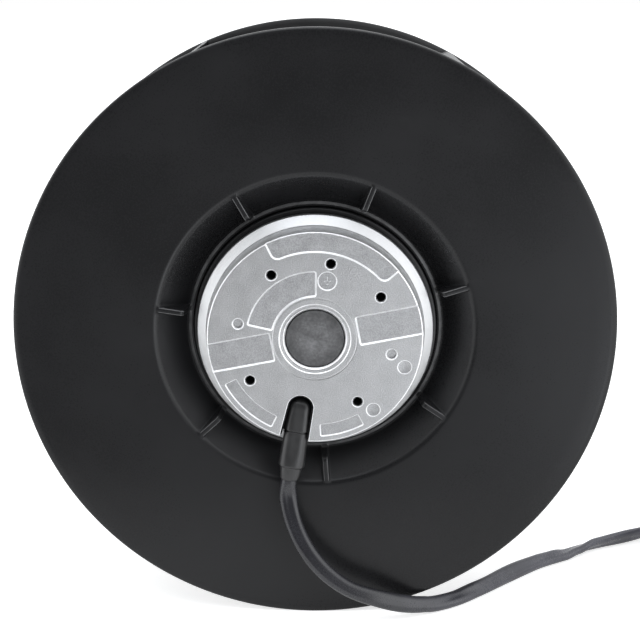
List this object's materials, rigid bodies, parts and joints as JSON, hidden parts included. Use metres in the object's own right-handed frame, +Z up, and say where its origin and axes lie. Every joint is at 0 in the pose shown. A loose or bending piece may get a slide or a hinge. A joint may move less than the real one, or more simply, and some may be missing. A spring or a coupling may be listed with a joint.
{
  "type": "centrifugal fan",
  "caption": "Backward-curved centrifugal fan on an external-rotor motor, with a round mounting flange, an inlet eye and a sleeved lead.",
  "frame": {"origin": "centre of the motor's mounting face, which is held by the flange's four tapped holes", "axes": "+Y along the fan axis, from the mounting face towards the inlet eye; -Y is the way the mounting face looks; +Z up, with the lead leaving downwards"},
  "size_m": [0.3265, 0.1045, 0.225],
  "materials": {
    "die_cast": "bare die casting, fine satin grain, machined edges bright",
    "black_plastic": "glass-filled moulding, fine matt grain",
    "black_steel": "satin black paint on deep-drawn steel",
    "bearing_steel": "ground and polished",
    "bright_steel": "zinc plated",
    "lamination": "stacked electrical sheet",
    "copper": "enamelled copper wire",
    "insulation": "moulded end plate",
    "grey_rubber": "matt moulded rubber",
    "sleeve": "soft ribbed sleeve around the wires",
    "white_nylon": "plain moulded nylon"
  },
  "bodies": {
    "stator": {"motor_flange": "die_cast", "bearing_cap": "grey_rubber", "cable_grommet": "grey_rubber", "stator_core": "lamination", "insulator_rear": "insulation", "insulator_front": "insulation", "winding_rear": "copper", "winding_front": "copper", "bearing_outer_rear": "bearing_steel", "bearing_outer_front": "bearing_steel", "wave_washer": "bearing_steel", "lead_sleeve": "sleeve", "lead_coil": "sleeve", "coil_tie": "white_nylon", "lead_tail": "sleeve", "lead_connector": "white_nylon"},
    "ball_cages": {"ball_cage_rear": "bearing_steel", "ball_cage_front": "bearing_steel"},
    "rotor": {"rotor_can": "black_steel", "rotor_core": "lamination", "short_ring_rear": "die_cast", "short_ring_front": "die_cast", "rotor_shaft": "bearing_steel", "bearing_inner_rear": "bearing_steel", "bearing_inner_front": "bearing_steel", "shaft_circlip": "bearing_steel", "back_disc": "black_plastic", "blade_1": "black_plastic", "blade_2": "black_plastic", "blade_3": "black_plastic", "blade_4": "black_plastic", "blade_5": "black_plastic", "blade_6": "black_plastic", "blade_7": "black_plastic", "front_ring": "black_plastic", "hub_screw_1": "bright_steel", "hub_screw_2": "bright_steel", "hub_screw_3": "bright_steel", "hub_screw_4": "bright_steel"}
  },
  "joints": [
    {"name": "rotor_spin", "type": "hinge", "parent": "stator", "child": "rotor", "pos_m": [0, 0, 0], "axis": [0, 1, 0], "continuous": true},
    {"name": "cage_spin", "type": "hinge", "parent": "stator", "child": "ball_cages", "pos_m": [0, 0, 0], "axis": [0, 1, 0], "continuous": true}
  ],
  "couplings": [
    {"joint": "cage_spin", "follows": "rotor_spin", "ratio": 0.389}
  ]
}
